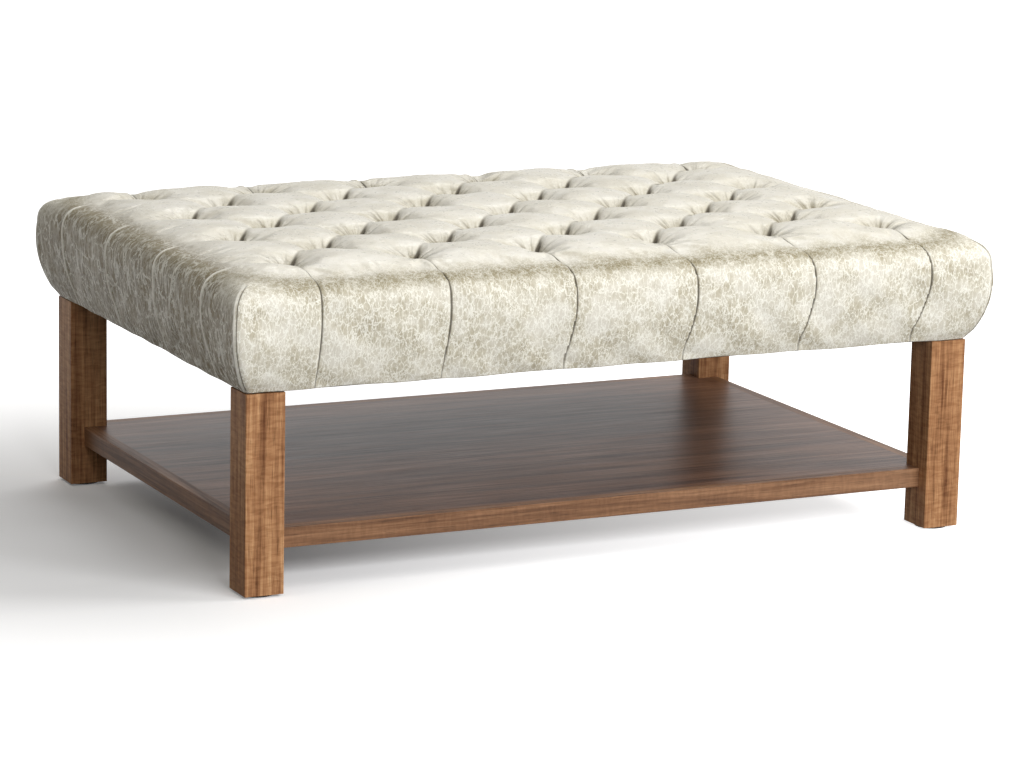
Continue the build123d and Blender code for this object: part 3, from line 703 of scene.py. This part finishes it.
def places_of(mesh):
    """The points of a mesh."""
    values = np.zeros(len(mesh.vertices) * 3, np.float32)
    mesh.vertices.foreach_get("co", values)
    return values.reshape(-1, 3).astype(float)


def normals_of(mesh):
    """The way each point of a mesh faces."""
    values = np.zeros(len(mesh.vertices) * 3, np.float32)
    mesh.vertex_normals.foreach_get("vector", values)
    return values.reshape(-1, 3).astype(float)


def settled(piece, held, steps, most):
    """The leather lets itself out between its tufts under the push of the foam, by a short cloth
    simulation, and moves no further than the given distance."""
    piece.vertex_groups.new(name="held").add(held.tolist(), 1, "REPLACE")
    modifier = piece.modifiers.new("settling", "CLOTH")
    leather = modifier.settings
    leather.quality = 6
    leather.mass = 0.3
    leather.tension_stiffness = leather.compression_stiffness = 30
    leather.shear_stiffness = 12
    leather.bending_stiffness = 0.6
    leather.use_pressure = True
    leather.uniform_pressure_force = 2
    leather.shrink_min = -0.015
    leather.vertex_group_mass = "held"
    leather.effector_weights.gravity = 0
    modifier.collision_settings.use_collision = False
    start = places_of(piece.data)
    for step in range(1, steps + 1):
        bpy.context.scene.frame_set(step)
    after = piece.evaluated_get(bpy.context.evaluated_depsgraph_get())
    moved = places_of(after.data) - start
    piece.modifiers.remove(modifier)
    bpy.context.scene.frame_set(1)
    length = np.linalg.norm(moved, axis=1, keepdims=True)
    return start + moved * np.minimum(1, most / np.maximum(length, 1e-9))


paint_on(cover_mesh, "hide_x", flat_places[:, 0])
paint_on(cover_mesh, "hide_y", flat_places[:, 1])
# How deep each place lies in a valley, for the brown there: patina together with painted shade.
paint_on(cover_mesh, "valley", np.clip((-relief - valley_start) / valley_run, 0, 1))
tied_reach = np.hypot(*np.clip(np.abs(flat_places) - tuft_half, 0, None).T)
held = np.flatnonzero((to_tuft < tied_near) | (tied_reach > tied_out))
cover_mesh.vertices.foreach_set("co", settled(cover, held, settle_steps, settle_most).ravel())
cover_mesh.update()

# The small forms come after: the mesh is divided once, then the lips, slits and creases are pressed in.
divide = cover.modifiers.new("divide", "SUBSURF")
divide.levels = 1
cover_mesh = bpy.data.meshes.new_from_object(cover.evaluated_get(bpy.context.evaluated_depsgraph_get()))
cover.modifiers.remove(divide)
cover.data = cover_mesh
cover_mesh.name = "seat_cover"
flat_places = np.column_stack([kept_on(cover_mesh, "hide_x"), kept_on(cover_mesh, "hide_y")])
detail, crease, out, lines = fine_relief(flat_places)
points, facing = places_of(cover_mesh), normals_of(cover_mesh)
above_foot = np.clip((points[:, 2] - seat_bottom) / foot_fade, 0, 1)
from_corner = base_half - np.abs(points[:, :2])
corner_side = from_corner[:, 0] - from_corner[:, 1]
outside = np.minimum(*from_corner.T) < 0
at_corner = (np.abs(corner_side) < corner_reach) & outside
sewn = at_corner * np.clip((shoulder_height + seam_over - points[:, 2]) / seam_run, 0, 1)
detail = detail * (1 - sewn * np.exp(-(corner_side / corner_calm)**2))
detail += sewn * corner_lip * overlap(-corner_side, corner_lip_width)
points += facing * (detail * above_foot)[:, None]
pull = from_tuft(flat_places)
radius = np.hypot(*pull.T)
over_knot = knot_top - knot_fall * np.clip(radius - knot_radius, 0, None)
points[:, 2] = np.where(radius < 4 * knot_radius, np.maximum(points[:, 2], over_knot), points[:, 2])
up_side = np.clip((points[:, 2] - seat_bottom) / (widest_height - seat_bottom), 0, 1)
full = (corner_fullness + low_fullness * 4 * up_side * (1 - up_side)) * np.clip(up_side * 8, 0, 1)
full *= np.exp(-(corner_side / corner_reach)**2) * outside
full *= np.clip((fullness_top - points[:, 2]) / fullness_run, 0, 1)
points[:, :2] += np.sign(points[:, :2]) * full[:, None] * 0.5**0.5

# The hem isn't quite level: slow waves, about 0.2 m long, run along it.
wave_along = np.sin(31 * points[:, 0] + 3 * np.sin(13 * points[:, 1]))
wave_across = np.cos(37 * points[:, 1] + 2 * np.sin(11 * points[:, 0]))
waved = np.clip(1 - (points[:, 2] - seat_bottom) / hem_wave_up, 0, 1) * (out > hem_wave_out)
points[:, 2] += hem_wave * (1 + wave_along * wave_across) * waved
cover_mesh.vertices.foreach_set("co", points.ravel())
cover_mesh.update()

# The lining sheet that the stuffing rests on closes the cover inside its hem.
shell = bmesh.new()
shell.from_mesh(cover_mesh)
bmesh.ops.holes_fill(shell, edges=[edge for edge in shell.edges if edge.is_boundary])
shell.to_mesh(cover_mesh)
shell.free()
cover_mesh.shade_smooth()


def paint_vectors(mesh, name, values):
    """Keeps three numbers for each point of a mesh."""
    kept = mesh.attributes.new(name, "FLOAT_VECTOR", "POINT")
    kept.data.foreach_set("vector", values.astype(np.float32).ravel())


def paint_line(mesh, name, side, strength):
    """Keeps how far each point lies from a line, as a turn, where 1 is a half turn, and a strength."""
    paint_vectors(mesh, name, np.column_stack([np.sin(pi * side), np.cos(pi * side), strength]))


# The looks of the leather follow what is kept on its points: the folds and seams with their painted
# shadow lines and pale rims, the claws round each tuft, the band of painted shade on the shoulder, and
# where the top and the two ends begin.
line_reach, rim_gap = 0.05, 0.006
claw_reach = 0.038
band_out, band_reach = 0.110, 0.019
top_out, top_run = 0.07, 0.03
end_out, end_run = 0.05, 0.05

for name, (side, strength) in lines.items():
    paint_line(cover_mesh, name, side, strength)
# The painted shadow line of each corner seam.
paint_line(cover_mesh, "corner", np.clip(corner_side / line_reach, -1, 1), sewn)
# The pale rim beside each corner seam, a painted highlight on its lip.
paint_line(cover_mesh, "corner_rim", np.clip((corner_side + rim_gap) / line_reach, -1, 1), sewn)
paint_vectors(cover_mesh, "pull", np.column_stack([pull / np.maximum(radius, 1e-6)[:, None],
                                                   np.exp(-(radius / claw_reach)**2)]))
# The painted shade of the small creases.
paint_on(cover_mesh, "crease", crease)
# The band of painted shade where the shoulder turns down into the side.
paint_on(cover_mesh, "shoulder", np.exp(-((out - band_out) / band_reach)**2))
# Where the top begins, for its painted sheen and its lower roughness.
paint_on(cover_mesh, "upper", np.clip(1 - (out - top_out) / top_run, 0, 1))
beyond_x, beyond_y = (np.abs(flat_places) - tuft_half).T
beyond_ends = beyond_x - np.clip(beyond_y, 0, None)
paint_on(cover_mesh, "end", np.clip((beyond_ends - end_out) / end_run, 0, 1))


def masked(tree, name):
    """What paint_on kept on the mesh."""
    return node(tree, "Attribute", attribute_name=name).outputs["Fac"]


def parts_of(tree, name):
    """The three numbers of a painted line or pull."""
    kept = node(tree, "Attribute", attribute_name=name).outputs["Vector"]
    return node(tree, "SeparateXYZ", {0: kept}).outputs


line_widths = {"tuck": 0.065, "cross": 0.03, "pleat": 0.026, "corner": 0.04,
               "ridge": 0.05, "spare": 0.045, "corner_rim": 0.09}


def line_on(tree, name):
    """1 on a painted line, 0 beyond its width, times its strength. A width of 1 is a half turn."""
    sine, cosine, strength = parts_of(tree, name)
    turn = sum_of(tree, sum_of(tree, sine, cosine, "ARCTAN2"), pi * line_widths[name], "DIVIDE")
    away = sum_of(tree, turn, 0.0, "ABSOLUTE")
    near = node(tree, "MapRange", {"Value": away, "To Min": 1, "To Max": 0},
                interpolation_type="SMOOTHSTEP").outputs[0]
    return sum_of(tree, near, strength, "MULTIPLY")


def crackle(tree, spot, size, width, warp):
    """A net of thin broken lines, 1 on a line and 0 between, in cells of about the given size."""
    drift = node(tree, "TexNoise", {"Vector": spot, "Scale": 0.7 / size, "Detail": 4, "Roughness": 0.7})
    shift = node(tree, "VectorMath", {0: drift.outputs["Color"], 1: (0.5, 0.5, 0.5)},
                 operation="SUBTRACT")
    shift = node(tree, "VectorMath", {0: shift.outputs[0], "Scale": warp * size}, operation="SCALE")
    bent = node(tree, "VectorMath", {0: spot, 1: shift.outputs[0]}).outputs[0]
    net = node(tree, "TexVoronoi", {"Vector": bent, "Scale": 1 / size}, feature="DISTANCE_TO_EDGE")
    return ramp(tree, net.outputs["Distance"], [(0.3 * width, 1.0), (width, 0.0)])


def blend_in(tree, fac, a, b):
    """Two colours, mixed as far as a mask says."""
    return mix(tree, "MIX", fac, a, b)


def times(tree, a, b):
    """The product of two numbers."""
    return sum_of(tree, a, b, "MULTIPLY")


def most_of(tree, *values):
    """The largest of several numbers."""
    largest = values[0]
    for value in values[1:]:
        largest = sum_of(tree, largest, value, "MAXIMUM")
    return largest


cloud_size, patch_size, wrinkle_size, break_size = 0.05, 0.03, 0.022, 0.014
blotch_size, sheen_size, mottle_size, grain_size = 0.012, 0.01, 0.008, 0.0016
net_size, fine_net_size, end_net_size = 0.0078, 0.0044, 0.015
stroke_width, end_stroke_width, claw_drift = 0.0026, 0.007, 0.08
wrinkle_height, claw_height, crack_height, grain_height = 0.003, 0.004, 0.0002, 0.00012

pearl_shades = [(0.38, (0.38, 0.34, 0.25)), (0.5, (0.50, 0.46, 0.355)), (0.62, (0.60, 0.565, 0.46))]
end_brown = (0.31, 0.24, 0.13, 1)
# The paler ground of the top, a painted sheen.
top_sheen_pearl = (0.66, 0.63, 0.535, 1)
washed_pearl = (0.68, 0.655, 0.585, 1)
crack_cream = (0.88, 0.87, 0.795, 1)
# The brown of the painted shade on the shoulder and in the valleys, where it is also patina.
shade_and_patina_brown = (0.21, 0.175, 0.09, 1)
# The colours of the claws: painted shade in the small creases and painted glints on the ridges between.
claw_shade_brown, claw_glint_cream = (0.15, 0.125, 0.07, 1), (0.88, 0.86, 0.78, 1)
# Pale rims on the end ridges and the corner seams' lips: painted highlight, partly pale wear.
rim_wear_and_highlight = (0.97, 0.95, 0.87, 1)
# The dark brown of the painted shadow in the folds, pleats, corner seams and creases.
fold_shadow_brown = (0.045, 0.035, 0.02, 1)


def hide_ground(tree, spot, top, ended):
    """The mottled ground of the hide: browner on the ends, paler and even on the top, a painted sheen,
    washed pale in clouds.
    """
    cloud = noise(tree, spot, cloud_size, 4, 0.6)
    mottle = noise(tree, spot, mottle_size, 5, 0.75)
    ground = ramp(tree, mix(tree, "MIX", 0.4, cloud, mottle), pearl_shades)
    ground = mix(tree, "MULTIPLY", times(tree, ended, 0.9), ground, end_brown)
    # A painted sheen: the top is paler and more even.
    ground = blend_in(tree, times(tree, top, 0.65), ground, top_sheen_pearl)
    off_ends = sum_of(tree, 1.0, ended, "SUBTRACT")
    washed = times(tree, ramp(tree, cloud, [(0.44, 0.0), (0.62, 0.65)]), off_ends)
    return blend_in(tree, washed, ground, washed_pearl)


def crack_lines(tree, spot, ended):
    """The crackle, 1 on its lines: two nets with upright strokes, and a coarser net on the ends."""
    upright = place_in(tree, (1, 1, 0.45))
    broken = ramp(tree, noise(tree, spot, break_size, 4, 0.65), [(0.40, 0.05), (0.58, 1.0)])
    fine_net = mix(tree, "MULTIPLY", 1, crackle(tree, upright, fine_net_size, 0.09, 1.6), broken)
    net = mix(tree, "LIGHTEN", 1, crackle(tree, upright, net_size, 0.065, 1.6), fine_net)
    strokes = noise(tree, place_in(tree, (1, 1, 0.12)), stroke_width, 3, 0.6)
    strokes = mix(tree, "MULTIPLY", 1, ramp(tree, strokes, [(0.56, 0.0), (0.68, 0.8)]), broken)
    line = mix(tree, "LIGHTEN", 1, net, strokes)

    patchy = ramp(tree, noise(tree, spot, patch_size, 4, 0.6), [(0.36, 0.35), (0.54, 1.0)])
    end_strokes = noise(tree, place_in(tree, (1, 1, 0.15)), end_stroke_width, 4, 0.65)
    end_strokes = ramp(tree, end_strokes, [(0.52, 0.0), (0.60, 1.0)])
    end_net = crackle(tree, place_in(tree, (1, 1, 0.6)), end_net_size, 0.085, 1.8)
    end_net = mix(tree, "MULTIPLY", 1, mix(tree, "LIGHTEN", 1, end_net, end_strokes), patchy)
    faint = mix(tree, "MULTIPLY", 1, line, (0.3, 0.3, 0.3, 1))
    return blend_in(tree, ended, line, mix(tree, "LIGHTEN", 1, end_net, faint))


def shade_and_patina_places(tree, spot, line):
    """Where brown is painted in blotches: painted shade over the shoulder roll, and in the valleys patina
    together with painted shade.
    """
    blotch = ramp(tree, noise(tree, spot, blotch_size, 6, 0.75), [(0.30, 0.1), (0.56, 1.0)])
    brown_share = sum_of(tree, masked(tree, "shoulder"), times(tree, masked(tree, "valley"), 1.3))
    brown_share = times(tree, times(tree, brown_share, blotch), 0.95)
    return times(tree, brown_share, sum_of(tree, 1.0, times(tree, line, 0.35), "SUBTRACT"))


def claws_at_tufts(tree, spot):
    """Streaks that run out from each tuft, for their relief and their painted shade and glints, and how
    near that tuft is.
    """
    streak_x, streak_y, near = parts_of(tree, "pull")
    drift = noise(tree, spot, claw_drift, 1)
    ring = node(tree, "CombineXYZ", {0: streak_x, 1: streak_y, 2: drift}).outputs[0]
    claws = node(tree, "TexNoise", {"Vector": ring, "Scale": 4.5, "Detail": 3, "Roughness": 0.65})
    return claws.outputs["Fac"], near


def hide_material(name):
    """Pearled hide: pale grey green, crackled cream, brown painted shade on its shoulder, in its valleys
    (with patina) and its folds.
    """
    material, tree = empty_material(name)
    spot = place_in(tree, (1, 1, 1))
    top, ended = masked(tree, "upper"), masked(tree, "end")
    ground = hide_ground(tree, spot, top, ended)
    line = crack_lines(tree, spot, ended)
    # The crackle fades on the top under the painted sheen.
    fade = sum_of(tree, sum_of(tree, 0.8, times(tree, ended, 0.15)), times(tree, top, 0.6), "SUBTRACT")
    colour = blend_in(tree, times(tree, line, fade), ground, crack_cream)
    # Brown painted shade on the shoulder and in the valleys, there together with patina.
    colour = blend_in(tree, shade_and_patina_places(tree, spot, line), colour, shade_and_patina_brown)

    # Round each tuft: painted shade in brown in the small radial creases, and painted glints in cream on
    # the ridges between them.
    claws, near = claws_at_tufts(tree, spot)
    claw_shading = times(tree, ramp(tree, claws, [(0.38, 1.0), (0.5, 0.0)]), near)
    colour = blend_in(tree, times(tree, claw_shading, 0.95), colour, claw_shade_brown)
    claw_glints = times(tree, ramp(tree, claws, [(0.52, 0.0), (0.66, 1.0)]), near)
    colour = blend_in(tree, times(tree, claw_glints, 0.5), colour, claw_glint_cream)

    # Pale rims on the ridges and seam lips: painted highlight, partly pale wear.
    rim = most_of(tree, *(line_on(tree, name) for name in ("ridge", "spare", "corner_rim")))
    colour = blend_in(tree, rim, colour, rim_wear_and_highlight)
    # Painted shadow along the folds, pleats, corner seams and creases, beside their lips.
    tuck = sum_of(tree, times(tree, line_on(tree, "tuck"), 2.0), 1.0, "MINIMUM")
    cross = times(tree, line_on(tree, "cross"), 0.5)
    pleat, corner = line_on(tree, "pleat"), line_on(tree, "corner")
    dark = times(tree, most_of(tree, tuck, cross, pleat, corner, masked(tree, "crease")), 0.9)
    colour = blend_in(tree, dark, colour, fold_shadow_brown)

    rough = ramp(tree, noise(tree, spot, sheen_size, 4), [(0.3, 0.44), (0.7, 0.60)])
    rough = sum_of(tree, rough, times(tree, top, 0.2), "SUBTRACT")
    rough = sum_of(tree, rough, times(tree, dark, 0.5))
    relief = bump(tree, noise(tree, spot, wrinkle_size, 3, 0.5), wrinkle_height, 0.5)
    relief = bump(tree, line, crack_height, 0.5, relief)
    relief = bump(tree, mix(tree, "MULTIPLY", 1, claws, near), claw_height, 0.8, relief)
    relief = bump(tree, noise(tree, spot, grain_size, 4, 0.6), grain_height, 0.2, relief)
    finish_of(tree, colour, rough, relief, Specular_IOR_Level=0.27)
    return material


cover_mesh.materials.append(hide_material("pearled_hide"))
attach(cover, "root")
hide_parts("leather_cover", "wadding", "foam_pad")


# The dust cover. A black non-woven cloth, notched round the legs, is stretched under the seat over
# the turned hem and tacked to the frame, so that no dust falls from the stuffing.
cloth_low, cloth_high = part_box("dust_cover")
cloth_level = (cloth_low.z + cloth_high.z) / 2
cloth_cells = (96, 64)
leg_gap = 0.001
notch = np.array([leg_high.x + leg_gap, leg_high.y + leg_gap])


def cloth_lines(axis):
    """Where the cells of the cloth part along one axis: evenly, and at the sides of the notches."""
    even = np.linspace(cloth_low[axis], cloth_high[axis], cloth_cells[axis] + 1)[1:-1]
    return np.sort(np.append(even, [cloth_low[axis], notch[axis], -notch[axis], cloth_high[axis]]))


def cloth_point(i, j):
    """The number of a corner of the cloth, made when it is first met."""
    if (i, j) not in seen:
        seen[i, j] = len(cloth_points)
        cloth_points.append((cloth_x[i], cloth_y[j], cloth_level))
    return seen[i, j]


cloth_x, cloth_y = cloth_lines(0), cloth_lines(1)
cloth_points, cloth_faces, seen = [], [], {}
for i in range(len(cloth_x) - 1):
    for j in range(len(cloth_y) - 1):
        middle_x = abs(cloth_x[i] + cloth_x[i + 1]) / 2
        middle_y = abs(cloth_y[j] + cloth_y[j + 1]) / 2
        if middle_x < -notch[0] or middle_y < -notch[1]:
            cloth_faces.append([cloth_point(i, j), cloth_point(i, j + 1),
                                cloth_point(i + 1, j + 1), cloth_point(i + 1, j)])
cloth_mesh = bpy.data.meshes.new("dust_cloth")
cloth_mesh.from_pydata(cloth_points, [], cloth_faces)
cloth = bpy.data.objects.new("dust_cloth", cloth_mesh)
bpy.context.scene.collection.objects.link(cloth)
material, tree = empty_material("black_nonwoven")
felt = noise(tree, place_in(tree, (1, 1, 1)), 0.0015, 5, 0.7)
finish_of(tree, ramp(tree, felt, [(0.3, 0.012), (0.7, 0.035)]), 0.9, bump(tree, felt, 0.0002, 0.6))
cloth_mesh.materials.append(material)
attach(cloth, "root")
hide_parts("dust_cover")
